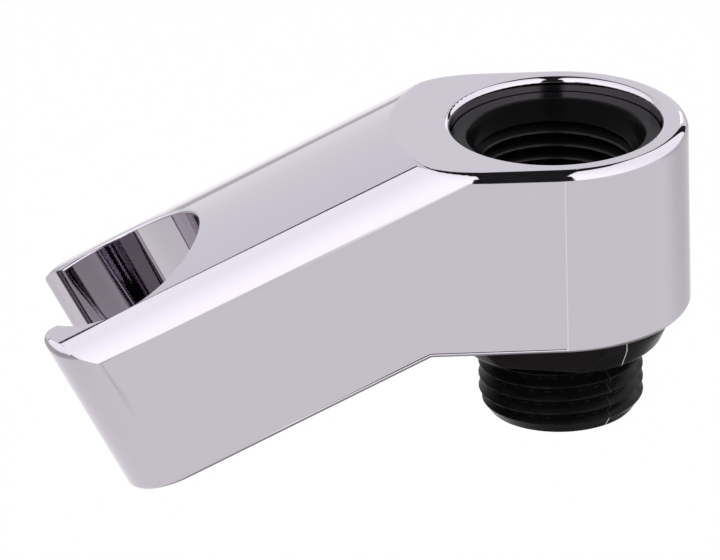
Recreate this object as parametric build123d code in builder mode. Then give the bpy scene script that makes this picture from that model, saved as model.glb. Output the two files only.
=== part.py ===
from build123d import *
from math import cos, radians, sin, sqrt, tan
import os

# Hand shower holder: a swivel head on a threaded connector, with a drooping arm and an open cradle.
# Origin on the swivel axis at the mouth of the inlet thread, +Z out of the inlet, arm towards -X.
# All sizes are in millimetres.

# Pipe thread, half inch parallel: the male crest, and the moulded female crest within its tolerance
thread_major_radius = 20.955 / 2
inlet_crest_radius = 19.0 / 2

# Connector socket
socket_mouth_radius = 11.3
lead_in_depth = 1.9
inlet_thread_length = 8.1
washer_pocket_radius = 9.9
washer_pocket_depth = 2.4
socket_floor = 2.2
waterway_radius = 6.5
washer_thickness = 2.0
washer_clearance = 0.4
washer_bore_radius = 6.8

# Head, the upright round part that turns on the connector
head_radius = 16.7
head_height = 24.8
head_top_rounding = 1.35
bore_radius = 13.4
bore_lip_rounding = 0.7
socket_recess = 1.8
ledge_bore_radius = 10.0

# Swivel fit between head and connector
swivel_clearance = 0.08
swivel_play = 0.1
slip_washer_thickness = 0.8
slip_washer_margin = 0.2
friction_ring_depth = 1.3
friction_ring_width = 2.2
friction_ring_gap = 0.05
friction_ring_place = 0.45
ring_rounding = 0.5

# Outlet nipple
flange_radius = 14.1
flange_taper_depth = 1.25
flange_taper_height = 2.6
flange_thickness = 4.6
flange_across_flats = 23.5
flats_turn = 77.0
flange_edge_rounding = 0.4
outlet_thread_length = 9.5
outlet_chamfer_depth = 1.2
outlet_chamfer_length = 1.7
stub_radius = 8.0
stub_length = 3.6
stub_fit = 0.02
joint_seal_thickness = 1.2
joint_seal_gap = 0.1

# Arm: its crest line falls away from the head, its section is crowned with round shoulders
arm_droop = 26.7
crest_start = 21.0
arm_thickness = 24.1
crown_radius = 49.0
shoulder_radius = 5.0
underside_rounding = 0.8

# Cradle, measured along the crest from where the arm leaves the head's top
cradle_distance = 39.2
cradle_radius = 11.7
cradle_draft = 1.0
cradle_lip = 0.5
mouth_half_width = 8.4
prong_rounding = 2.0
tip_distance = 50.55
tip_corner_radius = 8.8
tip_edge_rounding = 1.3

# Levels along the swivel axis
thread_start_rise = thread_major_radius - inlet_crest_radius
socket_top = thread_start_rise + lead_in_depth
head_top = socket_top + socket_recess
head_foot = head_top - head_height
washer_seat = -inlet_thread_length - washer_pocket_depth
socket_shoulder = washer_seat - socket_floor
ledge_top = socket_shoulder - slip_washer_thickness
spigot_foot = head_foot - swivel_play
friction_ring_level = spigot_foot + friction_ring_place * (ledge_top - spigot_foot)
stub_foot = spigot_foot - stub_length
recess_floor = stub_foot - joint_seal_thickness
flange_foot = spigot_foot - flange_thickness
nipple_foot = flange_foot - outlet_thread_length

# Radii that follow from the fits
socket_radius = bore_radius - swivel_clearance
spigot_radius = ledge_bore_radius - swivel_clearance
groove_radius = spigot_radius - friction_ring_depth
ring_outer_radius = ledge_bore_radius - friction_ring_gap / 2
ring_inner_radius = groove_radius + friction_ring_gap

os.makedirs("parts", exist_ok=True)

# Axes of the arm: along runs down the crest, upward stands square to it
droop = radians(arm_droop)
along = Vector(-cos(droop), 0, -sin(droop))
upward = Vector(-sin(droop), 0, cos(droop))
crest_origin = Vector(-crest_start, 0, head_top)
cradle_centre = crest_origin + along * cradle_distance
cradle_plan = Plane(origin=cradle_centre, x_dir=along, z_dir=upward)

# Reach of the prongs past the cradle's axis
tip_reach = tip_distance - cradle_distance

# Corners of the side view, where the arm's underside meets the tip and the head's foot
tip_top = crest_origin + along * tip_distance
tip_foot = tip_top - upward * arm_thickness
bend = tip_foot - along * ((tip_foot.Z - head_foot) / along.Z)

# How far the cutting tools reach past the faces that they cut
over = 20.0

# Closeness within which an edge counts as lying on a plane
tolerance = 0.001


def is_lower_edge(edge):
    """True for an edge of the arm's underside or of the head's foot."""
    middle = edge.center()
    on_underside = abs((middle - tip_foot).dot(upward)) < tolerance
    on_foot = abs(middle.Z - head_foot) < tolerance
    return on_underside or on_foot


def is_bore_lip(edge):
    """True for the rim where the bore opens in the head's top."""
    on_top = abs(edge.center().Z - head_top) < tolerance
    return on_top and edge.geom_type == GeomType.CIRCLE and abs(edge.radius - bore_radius) < tolerance


def is_mouth_corner(vertex):
    """True in the mouth's sketch where the slot opens at the arm's tip."""
    at_tip = abs(vertex.X - tip_reach) < tolerance
    return at_tip and abs(abs(vertex.Y) - mouth_half_width) < tolerance


def is_seat_rim(edge):
    """True for the curve in which the tapered seat meets the crown of the arm."""
    curved = edge.geom_type != GeomType.LINE
    ends = [edge.position_at(t) - cradle_centre for t in (0, 0.5, 1)]
    reach = [sqrt(p.dot(along) ** 2 + p.Y**2) for p in ends]
    in_crown = all(p.dot(upward) > -arm_thickness / 2 for p in ends)
    return curved and in_crown and all(abs(r - cradle_radius) < prong_rounding / 2 for r in reach)


def is_flange_rim(edge):
    """True for an edge round the lower face of the nipple's flange."""
    start = edge.position_at(0)
    on_foot = abs(edge.center().Z - flange_foot) < tolerance
    return on_foot and sqrt(start.X**2 + start.Y**2) > thread_major_radius + tolerance


# Arm section: crowned top and round shoulders, the same all the way down the arm
with BuildPart() as arm_section:
    section_start = crest_origin - along * (head_radius + crest_start + over)
    with BuildSketch(Plane(origin=section_start, x_dir=(0, -1, 0), z_dir=along)) as section:
        with Locations((0, -crown_radius)):
            Circle(crown_radius)
            Rectangle(2 * head_radius, 2 * crown_radius, mode=Mode.INTERSECT)
        fillet(section.vertices().sort_by(Axis.Y)[-2:], shoulder_radius)
    extrude(amount=head_radius + crest_start + tip_distance + 2 * over)

# Arm outline, seen square to the crest: round corners, and the top edge softened all round the tip
with BuildPart() as arm_outline:
    outline_length = tip_distance + crest_start + head_radius + over
    outline_centre = crest_origin + along * (tip_distance - outline_length / 2)
    with BuildSketch(Plane(origin=outline_centre, x_dir=along, z_dir=upward)) as outline:
        Rectangle(outline_length, 2 * head_radius)
        fillet(outline.vertices().sort_by(Axis.X)[-2:], tip_corner_radius)
    extrude(amount=-crown_radius)
    with BuildSketch(Plane(origin=section_start, x_dir=(0, -1, 0), z_dir=along)):
        with Locations((0, -crown_radius)):
            Circle(crown_radius)
    extrude(amount=head_radius + crest_start + tip_distance + 2 * over, mode=Mode.INTERSECT)
    crown = arm_outline.faces().sort_by(lambda f: (f.center() - tip_foot).dot(upward))[-1]
    fillet(crown.edges().sort_by(lambda e: (e.center() - tip_top).dot(along))[1:], tip_edge_rounding)

# Head and arm: one side view across the full width, cut to the section and the outline
with BuildPart() as holder_body:
    with BuildSketch(Plane.XZ) as side_view:
        with BuildLine():
            Polyline(
                (0, head_top), (-crest_start, head_top), (tip_top.X, tip_top.Z),
                (tip_foot.X, tip_foot.Z), (bend.X, head_foot), (0, head_foot), close=True,
            )
        make_face()
    extrude(amount=head_radius, both=True)
    add(arm_section.part, mode=Mode.INTERSECT)
    add(arm_outline.part, mode=Mode.INTERSECT)
    with BuildSketch(Plane.XY.offset(head_foot)):
        Circle(head_radius)
        with Locations((-head_radius, 0)):
            Rectangle(2 * head_radius, 4 * head_radius, mode=Mode.SUBTRACT)
    extrude(amount=head_height)
    # Soft edge all round the head's top, thinning out where the crown rises to meet it
    top_face = holder_body.faces().filter_by(Axis.Z).sort_by(Axis.Z)[-1]
    fillet(top_face.edges(), head_top_rounding)
    # Soft edges along the underside and the foot
    fillet(holder_body.edges().filter_by(is_lower_edge), underside_rounding)
    # Bore for the connector, with the ledge that the socket's shoulder turns on
    with BuildSketch(Plane.XY.offset(head_top)):
        Circle(bore_radius)
    extrude(amount=ledge_top - head_top, mode=Mode.SUBTRACT)
    with BuildSketch(Plane.XY.offset(ledge_top)):
        Circle(ledge_bore_radius)
    extrude(amount=head_foot - ledge_top, mode=Mode.SUBTRACT)
    fillet(holder_body.edges().filter_by(is_bore_lip), bore_lip_rounding)
    # Cradle: a tapered seat square to the crest
    with BuildSketch(cradle_plan.offset(over)):
        Circle(cradle_radius + over * tan(radians(cradle_draft)))
    extrude(amount=-(arm_thickness + 2 * over), taper=cradle_draft, mode=Mode.SUBTRACT)
    # Mouth at the tip, flaring round the ends of both prongs
    with BuildSketch(cradle_plan.offset(over)) as mouth:
        with Locations((over, 0)):
            Rectangle(2 * over, 2 * mouth_half_width)
        with Locations((tip_reach + over, 0)):
            Rectangle(2 * over, 2 * head_radius)
        fillet(mouth.vertices().filter_by(is_mouth_corner), prong_rounding)
    extrude(amount=-(arm_thickness + 2 * over), mode=Mode.SUBTRACT)
    # Soft lip where the seat opens in the crown
    chamfer(holder_body.edges().filter_by(is_seat_rim), cradle_lip)
holder_body.part.label = "holder_body"
export_step(holder_body.part, "parts/holder_body.step")

# Connector socket: black inner body with the inlet thread, its spigot turns in the ledge bore
with BuildPart() as inlet_socket:
    with BuildSketch(Plane.XZ):
        with BuildLine():
            Polyline(
                (waterway_radius, stub_foot),
                (stub_radius - stub_fit, stub_foot),
                (stub_radius - stub_fit, spigot_foot),
                (spigot_radius, spigot_foot),
                (spigot_radius, socket_shoulder),
                (socket_radius, socket_shoulder),
                (socket_radius, socket_top),
                (socket_mouth_radius, socket_top),
                (thread_major_radius, thread_start_rise),
                (inlet_crest_radius, 0),
                (inlet_crest_radius, -inlet_thread_length),
                (washer_pocket_radius, -inlet_thread_length),
                (washer_pocket_radius, washer_seat),
                (waterway_radius, washer_seat),
                close=True,
            )
        make_face()
    revolve(axis=Axis.Z)
    # Groove for the ring that brakes the swivel
    with BuildSketch(Plane.XY.offset(friction_ring_level - friction_ring_width / 2)):
        Circle(spigot_radius + friction_ring_depth)
        Circle(groove_radius, mode=Mode.SUBTRACT)
    extrude(amount=friction_ring_width, mode=Mode.SUBTRACT)
inlet_socket.part.label = "inlet_socket"
export_step(inlet_socket.part, "parts/inlet_socket.step")

# Outlet nipple: one turned profile with the male thread and the recess welded on to the socket's stub
with BuildPart() as outlet_nipple:
    with BuildSketch(Plane.XZ):
        with BuildLine():
            Polyline(
                (waterway_radius, nipple_foot),
                (thread_major_radius - outlet_chamfer_depth, nipple_foot),
                (thread_major_radius, nipple_foot + outlet_chamfer_length),
                (thread_major_radius, flange_foot),
                (flange_radius - flange_taper_depth, flange_foot),
                (flange_radius, flange_foot + flange_taper_height),
                (flange_radius, spigot_foot),
                (stub_radius, spigot_foot),
                (stub_radius, recess_floor),
                (waterway_radius, recess_floor),
                close=True,
            )
        make_face()
    revolve(axis=Axis.Z)
    # Two flats on the flange for a spanner
    with BuildSketch(Plane.XY.offset(nipple_foot)):
        Rectangle(2 * flange_radius, flange_across_flats, rotation=flats_turn - 90)
    extrude(amount=spigot_foot - nipple_foot, mode=Mode.INTERSECT)
    fillet(outlet_nipple.edges().filter_by(is_flange_rim), flange_edge_rounding)
outlet_nipple.part.label = "outlet_nipple"
export_step(outlet_nipple.part, "parts/outlet_nipple.step")

# Flat washer at the bottom of the inlet thread
with BuildPart() as inlet_washer:
    with BuildSketch(Plane.XY.offset(washer_seat)):
        Circle(washer_pocket_radius - washer_clearance)
        Circle(washer_bore_radius, mode=Mode.SUBTRACT)
    extrude(amount=washer_thickness)
inlet_washer.part.label = "inlet_washer"
export_step(inlet_washer.part, "parts/inlet_washer.step")

# Flat seal between the stub's end and the floor of the nipple's recess
with BuildPart() as joint_seal:
    with BuildSketch(Plane.XY.offset(recess_floor)):
        Circle(stub_radius - joint_seal_gap)
        Circle(waterway_radius + joint_seal_gap, mode=Mode.SUBTRACT)
    extrude(amount=joint_seal_thickness)
joint_seal.part.label = "joint_seal"
export_step(joint_seal.part, "parts/joint_seal.step")

# Thin washer between the socket's shoulder and the ledge
with BuildPart() as slip_washer:
    with BuildSketch(Plane.XY.offset(ledge_top)):
        Circle(bore_radius - slip_washer_margin)
        Circle(ledge_bore_radius + slip_washer_margin, mode=Mode.SUBTRACT)
    extrude(amount=slip_washer_thickness)
slip_washer.part.label = "slip_washer"
export_step(slip_washer.part, "parts/slip_washer.step")

# Rubber ring in the spigot's groove, squeezed against the ledge bore so that the holder stays where it is put
with BuildPart() as friction_ring:
    ring_centre = (ring_inner_radius + ring_outer_radius) / 2
    ring_thickness = ring_outer_radius - ring_inner_radius
    with BuildSketch(Plane.XZ):
        with Locations((ring_centre, friction_ring_level)):
            RectangleRounded(ring_thickness, friction_ring_width - 2 * friction_ring_gap, ring_rounding)
    revolve(axis=Axis.Z)
friction_ring.part.label = "friction_ring"
export_step(friction_ring.part, "parts/friction_ring.step")
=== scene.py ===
import math

import bmesh
import bpy
import numpy as np
from mathutils import Matrix, Vector


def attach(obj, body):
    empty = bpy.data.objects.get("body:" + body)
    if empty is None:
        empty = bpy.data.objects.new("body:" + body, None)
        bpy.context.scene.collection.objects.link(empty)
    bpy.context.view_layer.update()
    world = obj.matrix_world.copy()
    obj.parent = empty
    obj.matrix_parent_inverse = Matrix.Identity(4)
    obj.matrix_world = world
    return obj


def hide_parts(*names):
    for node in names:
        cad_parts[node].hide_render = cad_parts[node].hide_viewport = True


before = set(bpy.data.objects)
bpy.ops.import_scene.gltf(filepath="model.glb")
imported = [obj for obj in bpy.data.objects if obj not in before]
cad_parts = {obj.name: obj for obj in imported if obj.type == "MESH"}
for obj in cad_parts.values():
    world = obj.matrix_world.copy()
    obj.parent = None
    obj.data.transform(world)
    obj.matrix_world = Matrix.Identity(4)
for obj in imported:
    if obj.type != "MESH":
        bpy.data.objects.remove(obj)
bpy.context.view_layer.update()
scene = bpy.context.scene

# %% [markdown]
# A hand shower holder is three things to the eye: one chrome moulding (a round head with a drooping arm
# that ends in a cradle), a black threaded socket inside its head and a black threaded nipple below it.
# The frame from CAD already has the moulding's shape, so the work here is the two threads, the finish
# and the studio around them.
#
# The script works in metres. The origin is the centre of the inlet thread's mouth, +Z points up out of
# the thread and the arm points to -X. Both threads are half inch pipe thread, 20.955 mm over the crests.
# The last two numbers are the angles in degrees over which an edge shows as an edge.

# %% Sizes that the two threads share
MM = 0.001
MAJOR, PITCH = 10.4775 * MM, 1.814 * MM
INLET_CREST, MALE_DEPTH = 9.5 * MM, 0.95 * MM
MOULDED_EDGE, PLATED_EDGE = 28, 24
print("inlet thread depth in mm:", round((MAJOR - INLET_CREST) / MM, 3))

# %% [markdown]
# A thread could be a swept profile, a screw modifier or a surface given by a formula. The formula is the
# surest here, because one function gives how deep the groove is at an angle and a height, and the male
# and the female piece then read the same helix, one from outside and one from inside. A right-hand
# thread climbs as it turns anticlockwise, which is why the share of the turn is taken off the height.

# %% How deep the thread's groove is
CREST_ROUNDING = 0.08


def groove_depth(theta, height, crest_height, crest_angle, depth):
    """Depth below the crest, in metres, of a V thread with a finely rounded crest.

    phase = (height - crest height) / pitch - (theta - crest angle) / (2 pi)
    t = 2 |phase - nearest whole number|, which is 0 on the crest and 1 in the root
    result = depth * (sqrt(t^2 + c^2) - c) / (sqrt(1 + c^2) - c), where c rounds the crest
    """
    phase = (height - crest_height) / PITCH - (theta - crest_angle) / (2 * np.pi)
    t = 2 * np.abs(phase - np.round(phase))
    c = CREST_ROUNDING
    return depth * (np.sqrt(t * t + c * c) - c) / (math.sqrt(1 + c * c) - c)


halfway = groove_depth(0.0, PITCH / 4, 0.0, 0.0, MALE_DEPTH) / MM
print("male groove halfway down its flank in mm:", round(float(halfway), 3))

# %% [markdown]
# Socket and nipple are turned rings: a closed profile carried round the axis. A grid of points, profile
# by angle, becomes such a ring when its last row is joined to the first and its last angle to the first.
# The radius may differ at every point of the grid, which is what lets the helix in.

# %% A ring that is closed both ways
def closed_grid(name, radius, height, theta):
    """Piece with a point (radius cos theta, radius sin theta, height) for each [profile row, angle]."""
    rows, turns = radius.shape
    x, y = radius * np.cos(theta), radius * np.sin(theta)
    points = np.stack([x, y, np.broadcast_to(height, radius.shape)], -1).reshape(-1, 3)
    i, j = np.meshgrid(np.arange(rows), np.arange(turns), indexing="ij")
    a, b = i * turns + j, i * turns + (j + 1) % turns
    c, d = ((i + 1) % rows) * turns + (j + 1) % turns, ((i + 1) % rows) * turns + j
    faces = np.stack([a, b, c, d], -1).reshape(-1, 4)
    mesh = bpy.data.meshes.new(name)
    mesh.from_pydata(points.tolist(), [], faces.tolist())
    mesh.validate()
    piece = bpy.data.objects.new(name, mesh)
    scene.collection.objects.link(piece)
    return piece


# %% [markdown]
# Moulded parts are smooth between their edges and crisp at them. Shading every face smooth and marking
# only the steep edges as sharp gives both, without a modifier that would have to be carried along.

# %% Smooth faces with sharp edges
def smooth_with_edges(piece, degrees):
    """Merges doubles, points every face outwards, shades smooth, keeps edges sharper than the angle."""
    work = bmesh.new()
    work.from_mesh(piece.data)
    bmesh.ops.remove_doubles(work, verts=work.verts, dist=1e-7)
    bmesh.ops.recalc_face_normals(work, faces=work.faces)
    for face in work.faces:
        face.smooth = True
    for edge in work.edges:
        edge.smooth = not (edge.is_manifold and edge.calc_face_angle(0.0) > math.radians(degrees))
    work.to_mesh(piece.data)
    work.free()
    print(piece.name, "faces", len(piece.data.polygons))
    return piece


# %% [markdown]
# A profile is written with only the corners that its shape needs. Long stretches are then divided, so
# that the faces of the ring stay of about one size and shade evenly.

# %% Points along a profile
def along(points, step):
    """Points (radius, height) of a polyline, with more between them so that none is over step apart."""
    out = []
    for (r0, z0), (r1, z1) in zip(points[:-1], points[1:]):
        n = max(1, int(np.ceil(np.hypot(r1 - r0, z1 - z0) / step)))
        t = np.arange(n)[:, None] / n
        out.append(np.array([[r0, z0]]) + t * np.array([[r1 - r0, z1 - z0]]))
    return np.concatenate(out + [np.array([points[-1]])])


# %% [markdown]
# The socket is one round black moulding. Its outside is walked from the foot of the waterway, up the
# stub, past the groove of the rubber ring, out at the shoulder that lies over the head's ledge, and
# over the flat rim that shows in the head. The rim's two edges are broken by a small chamfer.

# %% Outside of the inlet socket
TURNS = 256
theta = np.arange(TURNS) / TURNS * 2 * np.pi
SOCKET_TOP, SOCKET_R, MOUTH_R, START = 2.8775 * MM, 13.32 * MM, 11.3 * MM, 0.9775 * MM
THREAD_FOOT, POCKET_R, SEAT = -8.1 * MM, 9.9 * MM, -10.5 * MM
WATER_R, SHOULDER, SPIGOT_R, FOOT = 6.5 * MM, -12.7 * MM, 9.92 * MM, -20.2225 * MM
STUB_R, STUB_FOOT = 7.98 * MM, -23.8225 * MM
GROOVE_R, GROOVE_FOOT, GROOVE_TOP = 8.62 * MM, -18.2974 * MM, -16.0974 * MM
EDGE = 0.12 * MM

body = along([(WATER_R, STUB_FOOT), (STUB_R, STUB_FOOT), (STUB_R, FOOT), (SPIGOT_R, FOOT),
              (SPIGOT_R, GROOVE_FOOT), (GROOVE_R, GROOVE_FOOT), (GROOVE_R, GROOVE_TOP),
              (SPIGOT_R, GROOVE_TOP), (SPIGOT_R, SHOULDER), (SOCKET_R, SHOULDER),
              (SOCKET_R, SOCKET_TOP - EDGE), (SOCKET_R - EDGE, SOCKET_TOP),
              (MOUTH_R + EDGE, SOCKET_TOP), (MOUTH_R, SOCKET_TOP - EDGE), (MAJOR, START)], 1 * MM)
print("socket profile points", len(body))

# %% [markdown]
# Inside, a steep lead-in opens towards the mouth, a 45 degree countersink cuts the start of the thread
# away, and the thread fades out above the pocket of the washer. Each of these is a radius, and
# the wall is the largest of them, as a cutter that comes later can only take more away.

# %% Thread inside the socket
WALL_ROWS, INLET_CREST_Z = 150, -1.2 * MM
wall_z = np.linspace(START - 0.03 * MM, THREAD_FOOT, WALL_ROWS)[:, None]
countersink = INLET_CREST + np.maximum(wall_z, 0)
fade = np.clip((wall_z - THREAD_FOOT) / (0.4 * PITCH), 0, 1)
groove = groove_depth(theta, wall_z, INLET_CREST_Z, np.pi / 2, MAJOR - INLET_CREST)
wall_r = np.maximum(countersink, INLET_CREST + fade * groove)
tail = along([(POCKET_R, THREAD_FOOT - 0.05 * MM), (POCKET_R, SEAT), (WATER_R, SEAT)], 1 * MM)


def all_round(profile, turns):
    """Radius and height of a plain profile, repeated for every angle."""
    return np.repeat(profile[:, :1], turns, 1), np.repeat(profile[:, 1:], turns, 1)


body_r, body_z = all_round(body, TURNS)
tail_r, tail_z = all_round(tail, TURNS)
radius = np.concatenate([body_r, wall_r, tail_r])
height = np.concatenate([body_z, np.repeat(wall_z, TURNS, 1), tail_z])
socket = smooth_with_edges(closed_grid("threaded_socket", radius, height, theta), MOULDED_EDGE)

# %% [markdown]
# The nipple comes from a mould of two halves. Where they met, a fine line stands up on flange and thread.
# It is a narrow bell curve added to the radius there, with extra angles so that it stays fine.

# %% The mould's parting line
WITNESS, WITNESS_WIDTH = math.radians(-55.5), 0.13 * MM


def witness(theta, reach):
    """Height of the parting line: reach * exp(-(arc / width)^2), arc = distance round the thread."""
    arc = MAJOR * np.angle(np.exp(1j * (theta - WITNESS)))
    return reach * np.exp(-((arc / WITNESS_WIDTH) ** 2))


fine = np.sort(np.concatenate([theta, WITNESS % (2 * np.pi) + np.linspace(-0.04, 0.04, 17)]))
turns = len(fine)
print("angles round the nipple", turns)

# %% [markdown]
# The flange widens upwards like a cup and has two spanner flats. A flat is a straight line in plan, and
# a straight line at a distance h from the axis has the radius h / cos(angle from its middle). The flange
# is the smaller of cup and flats, which is how a turned disc looks when two sides are milled off.

# %% Flange with two spanner flats
FLANGE_TOP, FLANGE_FOOT, NIPPLE_FOOT = -20.2225 * MM, -24.8225 * MM, -34.3225 * MM
FLANGE_R, TAPER, TAPER_HEIGHT = 14.1 * MM, 1.25 * MM, 2.6 * MM
FLAT_HALF, FLATS_ANGLE, ROUND = 11.75 * MM, math.radians(77), 0.4 * MM
SIDE_ROWS = 12

corner = np.linspace(0, np.pi / 2, 6)[1:]
flange_z = np.concatenate([np.linspace(FLANGE_TOP, FLANGE_FOOT + ROUND, SIDE_ROWS),
                           FLANGE_FOOT + ROUND * (1 - np.sin(corner))])[:, None]
inset = np.concatenate([np.zeros(SIDE_ROWS), ROUND * (1 - np.cos(corner))])[:, None]
cup = np.minimum(FLANGE_R, FLANGE_R - TAPER * (1 - (flange_z - FLANGE_FOOT) / TAPER_HEIGHT))
flange = np.minimum(FLAT_HALF / np.maximum(np.abs(np.cos(fine - FLATS_ANGLE)), 1e-6), cup)
flange = flange - inset + witness(fine, 0.06 * MM)
print("flange radius in mm:", round(flange.min() / MM, 2), "to", round(flange.max() / MM, 2))

# %% [markdown]
# The male thread starts full under the flange and ends in a chamfer that leads the hose's nut on. Here
# the smallest radius wins, because thread and chamfer both take material off a round bar.

# %% Male thread of the nipple
MALE_ROWS, MALE_CREST_Z, MALE_CREST_ANGLE = 150, -25.87 * MM, math.radians(-99.2)
CHAMFER, CHAMFER_LENGTH, RECESS_R, RECESS_FLOOR = 1.2 * MM, 1.7 * MM, 8.0 * MM, -25.0225 * MM

male_z = np.linspace(FLANGE_FOOT, NIPPLE_FOOT, MALE_ROWS)[:, None]
cut = groove_depth(fine, male_z, MALE_CREST_Z, MALE_CREST_ANGLE, MALE_DEPTH)
start = np.clip((FLANGE_FOOT - male_z) / (0.3 * PITCH), 0, 1)
male = MAJOR - start * cut + witness(fine, 0.08 * MM)
male = np.minimum(male, MAJOR - CHAMFER + (male_z - NIPPLE_FOOT) * CHAMFER / CHAMFER_LENGTH)
inner = along([(WATER_R, NIPPLE_FOOT), (WATER_R, RECESS_FLOOR), (RECESS_R, RECESS_FLOOR),
               (RECESS_R, FLANGE_TOP)], 2 * MM)
inner_r, inner_z = all_round(inner, turns)
radius = np.concatenate([flange, male, inner_r])
height = np.concatenate([np.repeat(flange_z, turns, 1), np.repeat(male_z, turns, 1), inner_z])
nipple = smooth_with_edges(closed_grid("threaded_nipple", radius, height, fine), MOULDED_EDGE)

# %% [markdown]
# The chrome moulding starts as a merged copy of the frame's mesh. The dark stripe in the cradle only
# comes about in a seat with a steeper taper than the solid's, because each bounce between its walls
# turns the light upwards. So the copy's seat is narrowed towards its foot, and all else keeps its shape.
# A point's place in the seat is measured along the drooping arm, across it and down from its crest.

# %% Chrome holder and its seat's own measures
holder = bpy.data.objects.new("chrome_holder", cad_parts["holder_body"].data.copy())
scene.collection.objects.link(holder)
smooth_with_edges(holder, PLATED_EDGE)
CROWN_R, SEAT_R, SLOT, SOLID_DRAFT, SEAT_DRAFT = 49.0 * MM, 11.7 * MM, 8.4 * MM, 1.0, 4.0
HEAD_TOP, CREST_START, CRADLE_DISTANCE, DROOP = 4.6775 * MM, 21.0 * MM, 39.2 * MM, math.radians(26.7)
down, upward = Vector((-math.cos(DROOP), 0, -math.sin(DROOP))), Vector((-math.sin(DROOP), 0, math.cos(DROOP)))
crest_start = Vector((-CREST_START, 0, HEAD_TOP))
seat = crest_start + down * CRADLE_DISTANCE


def seat_place(point):
    """A point's place in the seat: distance down the arm, across it, and depth below the crest."""
    rel = point - seat
    return rel.dot(down), rel.y, -rel.dot(upward)


def seat_radius(depth, draft):
    """Radius of the tapered seat at a depth: SEAT_R - depth * tan(draft)."""
    return SEAT_R - depth * math.tan(math.radians(draft))


def on_seat(point, draft):
    """True where the point lies on the seat's tapered wall."""
    u, v, depth = seat_place(point)
    return abs(math.hypot(u, v) - seat_radius(depth, draft)) < 0.03 * MM


print("centre of the seat's rim in mm:", [round(c / MM, 2) for c in seat])

# %% [markdown]
# Each point of the wall moves straight towards the seat's axis. Where the wall meets the open slot it
# has to stay in the slot's plane, so there the point slides along that plane instead.

# %% Steeper seat
work = bmesh.new()
work.from_mesh(holder.data)
wall = [vert for vert in work.verts if on_seat(vert.co, SOLID_DRAFT)]
for vert in wall:
    u, v, depth = seat_place(vert.co)
    share = seat_radius(depth, SEAT_DRAFT) / seat_radius(depth, SOLID_DRAFT)
    u, v = u * share, v * share
    if abs(v) < SLOT and u > 0:
        v = math.copysign(SLOT, v)
        u = math.sqrt(seat_radius(depth, SEAT_DRAFT) ** 2 - v * v)
    vert.co = seat + down * u + Vector((0, v, 0)) - upward * depth
work.to_mesh(holder.data)
work.free()
print("seat points moved", len(wall))

# %% [markdown]
# A mirror shows every fault in the normals. They are weighted by face size, so that flats stay dead flat
# and only the roundings bend the light.

# %% Even flats
weighted = holder.modifiers.new("even flats", "WEIGHTED_NORMAL")
weighted.keep_sharp = True
weighted.weight = 50
settled = holder.evaluated_get(bpy.context.evaluated_depsgraph_get())
mesh = bpy.data.meshes.new_from_object(settled)
holder.modifiers.clear()
holder.data = mesh
normals = [Vector(corner.vector) for corner in mesh.corner_normals]
print("corner normals", len(normals))

# %% [markdown]
# In the seat light bounces up to six times, so that even small faults in the normals grow to streaks.
# Its wall gets the exact normals of a cone. The narrow lip round it sweeps from the wall's normal to the
# crown's, and the slot's walls turn from the seat's normal to their own, as plating rounds an edge over.

# %% Exact normals on seat, lip and slot
def cone_normal(point):
    """Normal of the seat: -(u, v) / r across the axis, tilted up by the draft."""
    u, v, depth = seat_place(point)
    tilt = math.radians(SEAT_DRAFT)
    across = (down * u + Vector((0, v, 0))).normalized()
    return (-across * math.cos(tilt) + upward * math.sin(tilt)).normalized()


def crown_normal(point):
    """Normal of the crowned top: away from the crown's axis, CROWN_R below the crest."""
    rel = point - crest_start
    return (upward * (rel.dot(upward) + CROWN_R) + Vector((0, rel.y, 0))).normalized()


swept = 0
for face in mesh.polygons:
    points = [mesh.vertices[n].co for n in face.vertices]
    flags = [on_seat(p, SEAT_DRAFT) for p in points]
    edge_face = any(flags) and not all(flags)
    lip = edge_face and 0.4 < face.normal.dot(upward) < 0.95
    slot_wall = edge_face and abs(face.normal.y) > 0.9
    if not (all(flags) or lip or slot_wall):
        continue
    for flag, loop, point in zip(flags, face.loop_indices, points):
        if flag:
            normals[loop] = cone_normal(point)
        elif not slot_wall:
            normals[loop] = crown_normal(point)
    swept += 1
mesh.normals_split_custom_set(normals)
print("faces with exact normals", swept)

# %% [markdown]
# The three new pieces take the places of the frame's plain ones. Each rides on the body that its node
# belongs to, so that the holder still swivels about the connector.

# %% New pieces in place of the frame's
for piece, node, group, slot in ((holder, "holder_body", "holder", "chrome"),
                                 (socket, "inlet_socket", "connector", "black_plastic"),
                                 (nipple, "outlet_nipple", "connector", "black_plastic")):
    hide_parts(node)
    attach(piece, group)
    print(piece.name, "replaces", node, "on", group)

# %% [markdown]
# Finishes. No real surface is even: plate follows the moulding's faint waviness, moulded plastic has the
# fine grain of the mould's wall, and paint and cloth have a coarser one. One noise at the finish's real
# scale drives roughness, colour and bump together, so that all three change at the same places.

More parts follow.
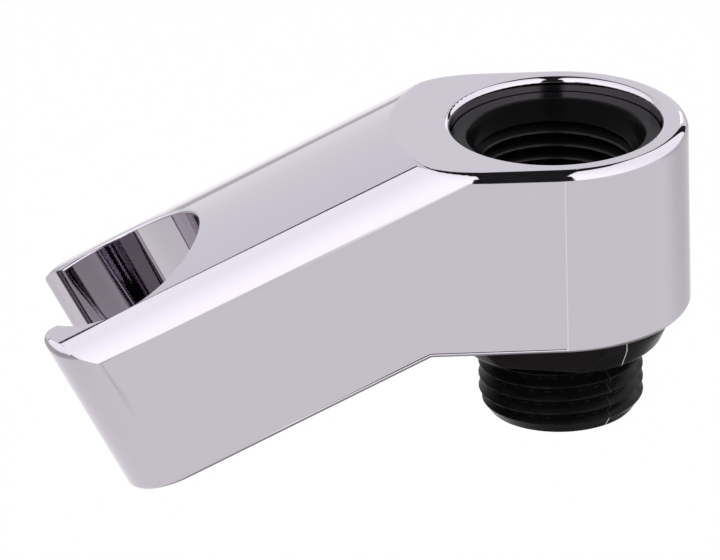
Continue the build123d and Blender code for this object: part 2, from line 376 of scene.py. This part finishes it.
# %% A finish with its own grain
def finish(name, color, metallic, roughness, spread, grain_mm, bump_mm, tint=0.0):
    """Principled material: roughness varies by spread, colour by tint, bump by bump_mm at grain_mm."""
    material = bpy.data.materials.new(name)
    material.use_nodes = True
    nodes, links = material.node_tree.nodes, material.node_tree.links
    shader = nodes["Principled BSDF"]
    shader.inputs["Metallic"].default_value = metallic
    where = nodes.new("ShaderNodeTexCoord")
    noise = nodes.new("ShaderNodeTexNoise")
    noise.inputs["Scale"].default_value = 1 / (grain_mm * MM)
    noise.inputs["Detail"].default_value = 4
    links.new(where.outputs["Object"], noise.inputs["Vector"])
    rough = nodes.new("ShaderNodeMapRange")
    rough.inputs["To Min"].default_value = roughness - spread
    rough.inputs["To Max"].default_value = roughness + spread
    links.new(noise.outputs["Fac"], rough.inputs["Value"])
    links.new(rough.outputs["Result"], shader.inputs["Roughness"])
    paint = nodes.new("ShaderNodeMix")
    paint.data_type = "RGBA"
    paint.inputs["A"].default_value = (*[c * (1 - tint) for c in color], 1)
    paint.inputs["B"].default_value = (*[min(1, c * (1 + tint)) for c in color], 1)
    links.new(noise.outputs["Fac"], paint.inputs["Factor"])
    links.new(paint.outputs["Result"], shader.inputs["Base Color"])
    bump = nodes.new("ShaderNodeBump")
    bump.inputs["Distance"].default_value = bump_mm * MM
    links.new(noise.outputs["Fac"], bump.inputs["Height"])
    links.new(bump.outputs["Normal"], shader.inputs["Normal"])
    return material


# %% [markdown]
# Chrome plate is a metal with a cool, faintly violet cast and hardly any roughness. The black plastic is
# nearly all specular: its own colour is close to nothing, and what shows is a weak, slightly warm sheen.

# %% Chrome, black plastic, rubber and natural plastic
chrome = finish("chrome plate", (0.552, 0.512, 0.562), 1.0, 0.035, 0.01, 3.0, 0.0006, 0.01)
plastic = finish("black moulded plastic", (0.003, 0.0028, 0.003), 0.0, 0.26, 0.05, 0.25, 0.01, 0.1)
sheen = plastic.node_tree.nodes["Principled BSDF"].inputs
sheen["Specular IOR Level"].default_value = 0.1
sheen["Specular Tint"].default_value = (1.0, 0.86, 0.92, 1)
rubber = finish("black rubber", (0.02, 0.02, 0.02), 0.0, 0.7, 0.1, 0.15, 0.03, 0.2)
natural = finish("natural plastic", (0.75, 0.74, 0.70), 0.0, 0.45, 0.06, 0.3, 0.01, 0.03)
print("finishes:", [material.name for material in (chrome, plastic, rubber, natural)])

# %% [markdown]
# Painted highlights, painted sheen and painted shade lie at known places on a piece. A mask worked out from
# the place by a few math nodes puts them there exactly and needs no painted picture. These helpers keep such
# masks readable.

# %% Helpers for masks by place
def math_node(tree, operation, *parts):
    """Math node: the operation on numbers or on outputs of other nodes."""
    node = tree.nodes.new("ShaderNodeMath")
    node.operation = operation
    for slot, part in zip(node.inputs, parts):
        if isinstance(part, (int, float)):
            slot.default_value = part
        else:
            tree.links.new(part, slot)
    return node.outputs[0]


def product(tree, *parts):
    """All parts multiplied together."""
    out = parts[0]
    for part in parts[1:]:
        out = math_node(tree, "MULTIPLY", out, part)
    return out


def distance_from(tree, x, y, middle_x, middle_y):
    """Distance of (x, y) from a middle point: sqrt((x - mx)^2 + (y - my)^2)."""
    aside, beyond = math_node(tree, "SUBTRACT", x, middle_x), math_node(tree, "SUBTRACT", y, middle_y)
    squares = math_node(tree, "ADD", product(tree, aside, aside), product(tree, beyond, beyond))
    return math_node(tree, "SQRT", squares)


def band(tree, source, low, high, at_low, at_high):
    """Smooth map of the source from low..high to at_low..at_high, clamped."""
    node = tree.nodes.new("ShaderNodeMapRange")
    node.interpolation_type = "SMOOTHSTEP"
    for name, number in (("From Min", low), ("From Max", high), ("To Min", at_low), ("To Max", at_high)):
        node.inputs[name].default_value = number
    tree.links.new(source, node.inputs["Value"])
    return node.outputs["Result"]


def place_of(tree):
    """Outputs for x, y and z on the piece, in metres."""
    where = tree.nodes.new("ShaderNodeTexCoord")
    split = tree.nodes.new("ShaderNodeSeparateXYZ")
    tree.links.new(where.outputs["Object"], split.inputs[0])
    return split.outputs


# %% [markdown]
# Inside the socket the crests of the thread get a painted sheen and the roots between them painted shade:
# light from the mouth reaches the crests' upturned edges and not the hidden roots, and the specular level
# stands in for that. The specular level follows the radius: it is high at the crests and low in the roots.
# The flat rim on top keeps an even level of its own.

# %% Thread inside the socket: painted sheen on the crests, painted shade in the roots
inside = plastic.copy()
inside.name = "black plastic with bright crests"
tree = inside.node_tree
x, y, z = place_of(tree)
from_axis = distance_from(tree, x, y, 0.0, 0.0)
# painted sheen on the crests and painted shade in the roots, through the specular level
crests = band(tree, from_axis, INLET_CREST + 0.02 * MM, INLET_CREST + 0.3 * MM, 0.22, 0.02)
rim = band(tree, z, 2.6 * MM, 2.8 * MM, 0.0, 1.0)
below = product(tree, math_node(tree, "SUBTRACT", 1.0, rim), crests)
level = math_node(tree, "ADD", below, product(tree, rim, 0.09))
tree.links.new(level, tree.nodes["Principled BSDF"].inputs["Specular IOR Level"])
print("nodes in the socket's plastic", len(tree.nodes))

# %% [markdown]
# Along the nipple's parting line a pale colour is painted in: a painted highlight, the glint of the fine
# ridge there. It lies across the flange and on the lead chamfer, and hardly at all on the thread. The mask is
# a thin stripe, measured square to the plane of that line, and only on its own side of the axis.

# %% Nipple plastic with a painted highlight on the parting line
def paint_over(material, mask, color):
    """Mixes a colour over the base colour where the mask is 1."""
    tree = material.node_tree
    base = tree.nodes["Principled BSDF"].inputs["Base Color"]
    mix = tree.nodes.new("ShaderNodeMix")
    mix.data_type = "RGBA"
    tree.links.new(mask, mix.inputs["Factor"])
    tree.links.new(base.links[0].from_socket, mix.inputs["A"])
    mix.inputs["B"].default_value = (*color, 1)
    tree.links.new(mix.outputs["Result"], base)


painted_glint_plastic = plastic.copy()
painted_glint_plastic.name = "black plastic with a painted glint line"
tree = painted_glint_plastic.node_tree
x, y, z = place_of(tree)
across, onward = math.sin(WITNESS), math.cos(WITNESS)
aside = math_node(tree, "SUBTRACT", product(tree, x, across), product(tree, y, onward))
ahead = math_node(tree, "ADD", product(tree, x, onward), product(tree, y, across))
line = band(tree, math_node(tree, "ABSOLUTE", aside), 0.03 * MM, 0.09 * MM, 1.0, 0.0)
flange_zone = band(tree, z, FLANGE_FOOT - 0.1 * MM, FLANGE_FOOT, 0.0, 1.0)
chamfer_zone = band(tree, z, NIPPLE_FOOT + 1.2 * MM, NIPPLE_FOOT + 1.5 * MM, 1.0, 0.0)
zones = math_node(tree, "MAXIMUM", math_node(tree, "MAXIMUM", flange_zone, chamfer_zone), 0.04)
own_side = math_node(tree, "GREATER_THAN", ahead, 0.0)
# painted highlight: a pale stripe along the parting line, the glint of its ridge
paint_over(painted_glint_plastic, product(tree, line, zones, own_side), (0.50, 0.46, 0.48))
print("nodes in the nipple's plastic", len(tree.nodes))

# %% [markdown]
# Where the head's flat side runs into its round side, one fine bright line is painted into the chrome's
# colour: a painted highlight along that crease. It is a change of colour only.

# %% Chrome with a painted highlight line
LINE_X, FRONT_Y = 0.45 * MM, -16.4 * MM
tree = chrome.node_tree
x, y, z = place_of(tree)
off_line = math_node(tree, "ABSOLUTE", math_node(tree, "SUBTRACT", x, LINE_X))
line = band(tree, off_line, 0.03 * MM, 0.14 * MM, 1.0, 0.0)
front = math_node(tree, "LESS_THAN", y, FRONT_Y)
# painted highlight: a fine bright line in the chrome's colour along the crease
paint_over(chrome, product(tree, line, front, 0.35), (0.86, 0.83, 0.88))
print("nodes in the chrome", len(tree.nodes))

# %% [markdown]
# Every piece now gets its finish. The four hidden pieces of the frame, three of rubber and the plastic
# slip washer, keep their meshes and only get a material in their slot.

# %% Finishes on the pieces
for piece, material in ((holder, chrome), (socket, inside), (nipple, painted_glint_plastic)):
    piece.data.materials.clear()
    piece.data.materials.append(material)
for node, material in (("inlet_washer", rubber), ("joint_seal", rubber), ("friction_ring", rubber),
                       ("slip_washer", natural)):
    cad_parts[node].material_slots[0].material = material
    print(node, "in", material.name)

# %% [markdown]
# The camera looks at the holder from in front and about 25 degrees above, from 1.2 m away. A long lens
# at such a distance keeps the ellipses of head and thread nearly alike, as in a catalogue picture. Its
# direction, its roll and its scale are the driving values, and its place follows from where the middle
# of the head's top has to lie in the picture.

# %% Camera at the photograph's angle
TURN, TILT, ROLL = math.radians(0.61), math.radians(24.53), math.radians(1.65)
DISTANCE, PX_PER_MM, PICTURE_WIDTH, PICTURE_HEIGHT = 1.2, 7.95, 720, 560
HEAD_TOP_X_PX, HEAD_TOP_Y_PX = 555.8, 120.35

forward = Vector((math.sin(TURN) * math.cos(TILT), math.cos(TURN) * math.cos(TILT), -math.sin(TILT)))
level = Vector((math.cos(TURN), -math.sin(TURN), 0))
right = math.cos(ROLL) * level - math.sin(ROLL) * level.cross(forward)
up = math.sin(ROLL) * level + math.cos(ROLL) * level.cross(forward)
aim_x = (HEAD_TOP_X_PX - PICTURE_WIDTH / 2) / PX_PER_MM * MM
aim_y = (PICTURE_HEIGHT / 2 - HEAD_TOP_Y_PX) / PX_PER_MM * MM
place = Vector((0, 0, HEAD_TOP)) - (right * aim_x + up * aim_y + forward * DISTANCE)

camera_data = bpy.data.cameras.new("camera")
camera_data.sensor_width = 36
camera_data.lens = PX_PER_MM / MM * DISTANCE * camera_data.sensor_width / PICTURE_WIDTH
camera_data.clip_start, camera_data.clip_end = 0.05, 50
camera = bpy.data.objects.new("camera", camera_data)
camera.matrix_world = Matrix((
    (right.x, up.x, -forward.x, place.x), (right.y, up.y, -forward.y, place.y),
    (right.z, up.z, -forward.z, place.z), (0, 0, 0, 1)))
scene.collection.objects.link(camera)
scene.camera = camera
print("lens", round(camera_data.lens, 1))

# %% [markdown]
# The world does two jobs. To the camera and in reflections it is plain white, which gives the white
# ground of the picture. To all other rays it is a weaker fill, so that dull surfaces don't wash out.

# %% World: white where it is seen, a plain fill otherwise
FILL = 0.55


def seen_rays(tree):
    """Output that is 1 for camera, glossy and transmission rays and 0 for every other ray."""
    rays = tree.nodes.new("ShaderNodeLightPath")
    total = rays.outputs["Is Camera Ray"]
    for name in ("Is Glossy Ray", "Is Transmission Ray"):
        total = math_node(tree, "MAXIMUM", total, rays.outputs[name])
    return total


world = bpy.data.worlds.new("studio")
world.use_nodes = True
scene.world = world
fill = world.node_tree.nodes["Background"]
fill.inputs["Color"].default_value = (1, 1, 1, 1)
fill.inputs["Strength"].default_value = FILL
white = world.node_tree.nodes.new("ShaderNodeBackground")
white.inputs["Color"].default_value = (1, 1, 1, 1)
mix = world.node_tree.nodes.new("ShaderNodeMixShader")
world.node_tree.links.new(seen_rays(world.node_tree), mix.inputs[0])
world.node_tree.links.new(fill.outputs[0], mix.inputs[1])
world.node_tree.links.new(white.outputs[0], mix.inputs[2])
world.node_tree.links.new(mix.outputs[0], world.node_tree.nodes["World Output"].inputs["Surface"])
print("world fill", FILL)

# %% [markdown]
# Most of what the chrome's upright sides show is the floor in front. It is pale paint that is lifted to white
# where the camera sees it, under what soft shadow falls on it. In reflections its tone falls off towards the
# left, falls from left to right at the back, and is low close under the connector: there a round spot of
# painted shadow stands for the shade under the holder. Each of these is a smooth band of x or y, or a round
# spot.

# %% Floor paint, with its tone in reflections and a painted shadow
UNDER_X, UNDER_Y, LIFT, COAT = 0.045, 0.035, 0.735, 0.21
pale = finish("pale floor paint", (0.86, 0.86, 0.87), 0.0, 0.6, 0.05, 40, 0.05, 0.01)
tree = pale.node_tree
x, y, z = place_of(tree)
# painted shadow: the floor's tone in reflections is low in a round spot close under the connector
under = band(tree, distance_from(tree, x, y, UNDER_X, UNDER_Y), 0.06, 0.14, 0.30, 1.0)
left_loss = product(tree, band(tree, x, -0.31, -0.15, 0.45, 0.0), band(tree, y, -0.6, -0.4, 0.0, 1.0))
left_side = math_node(tree, "SUBTRACT", 1.0, left_loss)
behind = band(tree, y, 0.05, 0.28, 0.0, 1.0)
right_side = math_node(tree, "SUBTRACT", band(tree, x, -0.02, 0.15, 1.10, 0.72), 1.0)
back = math_node(tree, "ADD", 1.0, product(tree, behind, right_side))
tone = product(tree, back, under, left_side)
camera_ray = tree.nodes.new("ShaderNodeLightPath").outputs["Is Camera Ray"]
not_seen = math_node(tree, "SUBTRACT", 1.0, camera_ray)
tone = math_node(tree, "ADD", camera_ray, product(tree, not_seen, tone))
print("nodes in the floor's tone", len(tree.nodes))

# %% [markdown]
# The lift is a weak emission and the coat a plain diffuse shader: the coat is what the shadow falls on.
# Rays that aren't seen meet the plain paint, so that the lift adds no light to the holder.

# %% Floor shader and the floor itself
def sheet(name, centre, facing, width, length, material):
    """Flat rectangle centred on a point and square to facing: corners = centre +- side +- way."""
    facing = Vector(facing).normalized()
    side = Vector((1, 0, 0)) * width / 2
    way = facing.cross(Vector((1, 0, 0))) * length / 2
    mesh = bpy.data.meshes.new(name)
    corners = [Vector(centre) + side * a + way * b for a, b in ((-1, -1), (1, -1), (1, 1), (-1, 1))]
    mesh.from_pydata([list(p) for p in corners], [], [(0, 1, 2, 3)])
    mesh.materials.append(material)
    piece = bpy.data.objects.new(name, mesh)
    scene.collection.objects.link(piece)
    return piece


lift = tree.nodes.new("ShaderNodeEmission")
tree.links.new(product(tree, tone, LIFT), lift.inputs["Strength"])
coat = tree.nodes.new("ShaderNodeBsdfDiffuse")
shade = tree.nodes.new("ShaderNodeCombineColor")
for slot in shade.inputs:
    tree.links.new(product(tree, tone, COAT), slot)
tree.links.new(shade.outputs[0], coat.inputs["Color"])
both = tree.nodes.new("ShaderNodeAddShader")
mix = tree.nodes.new("ShaderNodeMixShader")
tree.links.new(lift.outputs[0], both.inputs[0])
tree.links.new(coat.outputs[0], both.inputs[1])
tree.links.new(seen_rays(tree), mix.inputs[0])
tree.links.new(tree.nodes["Principled BSDF"].outputs[0], mix.inputs[1])
tree.links.new(both.outputs[0], mix.inputs[2])
tree.links.new(mix.outputs[0], tree.nodes["Material Output"].inputs["Surface"])
floor = sheet("floor", (0, 0, -0.16), (0, 0, 1), 8, 8, pale)
print("floor at", floor.data.vertices[0].co.z)

# %% [markdown]
# Chrome shows nothing but its surroundings, so the surroundings are most of the look. A tent of cloth
# stands over the holder: bright white to the left and right, a black strip from the front over the top,
# a weaker white at the back, and narrow gaps between the sheets, which draw the fine dark lines along
# the edges. A formula of the direction says how bright the cloth is, so that every line and its place
# can be moved by one number.

# %% How bright the tent is in every direction
def ramp(value, low, high):
    """Smooth step from 0 at low to 1 at high: 3 t^2 - 2 t^3."""
    t = np.clip((value - low) / (high - low), 0, 1)
    return t * t * (3 - 2 * t)


def glow(side, lean):
    """Brightness of the tent. side is the angle in degrees from straight up towards +X, lean the angle
    towards the back (+Y), level the height over the horizon and azimuth the angle from -Y towards +X.

    white = 1.48, rising to 1.78 low in front, and fading to 1 within 8 degrees of the horizon
    0 in the strip over the top, in the gap at lean 37.3 to 38.2 on the left and 50 to 58 on the right,
    and on two panels low in front; 1.02 behind the gaps, and 1.8 on a panel low at the back
    """
    white = 1.48 + 0.3 * ramp(-lean, -20, 60)
    ahead, across = -np.sin(np.radians(lean)), np.cos(np.radians(lean)) * np.sin(np.radians(side))
    azimuth = np.degrees(np.arctan2(across, ahead))
    level = np.degrees(np.arcsin(np.cos(np.radians(lean)) * np.cos(np.radians(side))))
    white = 1 + (white - 1) * ramp(level, 0, 8)
    strip_left = -4 - 9 * ramp(lean, -10, 35)
    strip_right = 7 + 7 * ramp(lean, 10, 30)
    left, right = side < strip_left, side > strip_right
    out = np.where(left & (lean > 37.3) | right & (lean > 50), 0.0, white)
    out = np.where(~left & ~right & (lean > -60), 0.0, out)
    out = np.where((azimuth > -11) & (azimuth < 13) & (lean < -35) & (level > 2), 0.0, out)
    out = np.where((azimuth > -40) & (azimuth < -22) & (level > 2) & (level < 11), 0.0, out)
    out = np.where(left & (lean > 38.2) | ~left & (lean > 58), 1.02, out)
    return np.where((side > 32) & (side < 60) & (lean > 61) & (lean < 70), 1.8, out)


print("white at the zenith's left", glow(np.array([-40.0]), np.array([0.0])))

# %% [markdown]
# The tent is half a ball, made as a grid over side and lean. The brightness lies in its points, so its
# edges are only as sharp as the grid is fine. That is why the grid is close round the strip over the top,
# and has a pair of lines, a tenth of a degree apart, at each edge of the gaps and of the panel at the back.

# %% Grid of the tent
TENT_RADIUS = 3.9


def lines(start, stop, step, close, marks):
    """Grid lines every step from start to stop, every 0.75 in the close range, and a pair at every mark."""
    pairs = np.concatenate([[m - 0.05, m + 0.05] for m in marks])
    coarse = np.arange(start, stop + step / 2, step)
    return np.unique(np.concatenate([coarse, np.arange(*close, 0.75), pairs]))


side, lean = np.meshgrid(lines(-90, 90, 3, (-12, 22), (32, 60)),
                         lines(-89, 89, 2, (5, 55), (37.3, 38.2, 50, 58, 61, 70)), indexing="ij")
a, b = np.radians(side), np.radians(lean)
points = TENT_RADIUS * np.stack([np.cos(b) * np.sin(a), np.sin(b), np.cos(b) * np.cos(a)], -1).reshape(-1, 3)
rows, columns = side.shape
i, j = np.meshgrid(np.arange(rows - 1), np.arange(columns - 1), indexing="ij")
first = i * columns + j
faces = np.stack([first, first + 1, first + columns + 1, first + columns], -1).reshape(-1, 4)
mesh = bpy.data.meshes.new("tent")
mesh.from_pydata(points.tolist(), [], faces.tolist())
mesh.attributes.new("glow", "FLOAT", "POINT").data.foreach_set("value", glow(side, lean).ravel())
print("tent faces", len(mesh.polygons))

# %% [markdown]
# The cloth itself is black and only glows, so that nothing that the tent reflects can spoil its tones.
# It isn't sampled as a lamp, which keeps the picture clean and quick: only rays that happen to meet it
# find its light, and nearly all of those are the chrome's mirror rays. The camera doesn't see it.

# %% Tent cloth
cloth = finish("tent cloth", (0.004, 0.004, 0.004), 0.0, 0.9, 0.05, 2.0, 0.2, 0.2)
brightness = cloth.node_tree.nodes.new("ShaderNodeAttribute")
brightness.attribute_name = "glow"
shader = cloth.node_tree.nodes["Principled BSDF"]
shader.inputs["Emission Color"].default_value = (0.985, 1.0, 1.03, 1)
cloth.node_tree.links.new(brightness.outputs["Fac"], shader.inputs["Emission Strength"])
cloth.cycles.emission_sampling = "NONE"
mesh.materials.append(cloth)
tent = bpy.data.objects.new("tent", mesh)
scene.collection.objects.link(tent)
tent.visible_camera = False
print("tent radius in m:", TENT_RADIUS)

# %% [markdown]
# Along the foot of the head's flat side runs a small rounding, and in it two narrow bars show as a dark
# line with a white one beside it. They hang low in front, below the camera's view, on a line that leads
# from the rounding down at each bar's own angle.

# %% Two narrow bars low in front
ROUNDING_PLACE = Vector((-0.003, -0.0167, -0.020))
black_bar = finish("black bar", (0.004, 0.004, 0.004), 0.0, 0.9, 0.05, 2.0, 0.2, 0.2)
white_bar = finish("white bar", (0.8, 0.8, 0.8), 0.0, 0.9, 0.05, 2.0, 0.2, 0.02)
shader = white_bar.node_tree.nodes["Principled BSDF"]
shader.inputs["Emission Color"].default_value = (1, 1, 1, 1)
shader.inputs["Emission Strength"].default_value = 1.0
for name, degrees, reach, width, length, material in (
        ("dark_bar", 37, 0.15, 0.026, 0.047, black_bar), ("white_bar", 52, 0.13, 0.028, 0.020, white_bar)):
    way = Vector((0, -math.cos(math.radians(degrees)), -math.sin(math.radians(degrees))))
    bar = sheet(name, ROUNDING_PLACE + way * reach, -way, width, length, material)
    bar.visible_camera = False
    print(name, "at", [round(c, 3) for c in ROUNDING_PLACE + way * reach])

# %% [markdown]
# Last, the plain view transform, so that a tone in the scene is the tone in the picture.

# %% Finish
scene.view_settings.view_transform = "Standard"
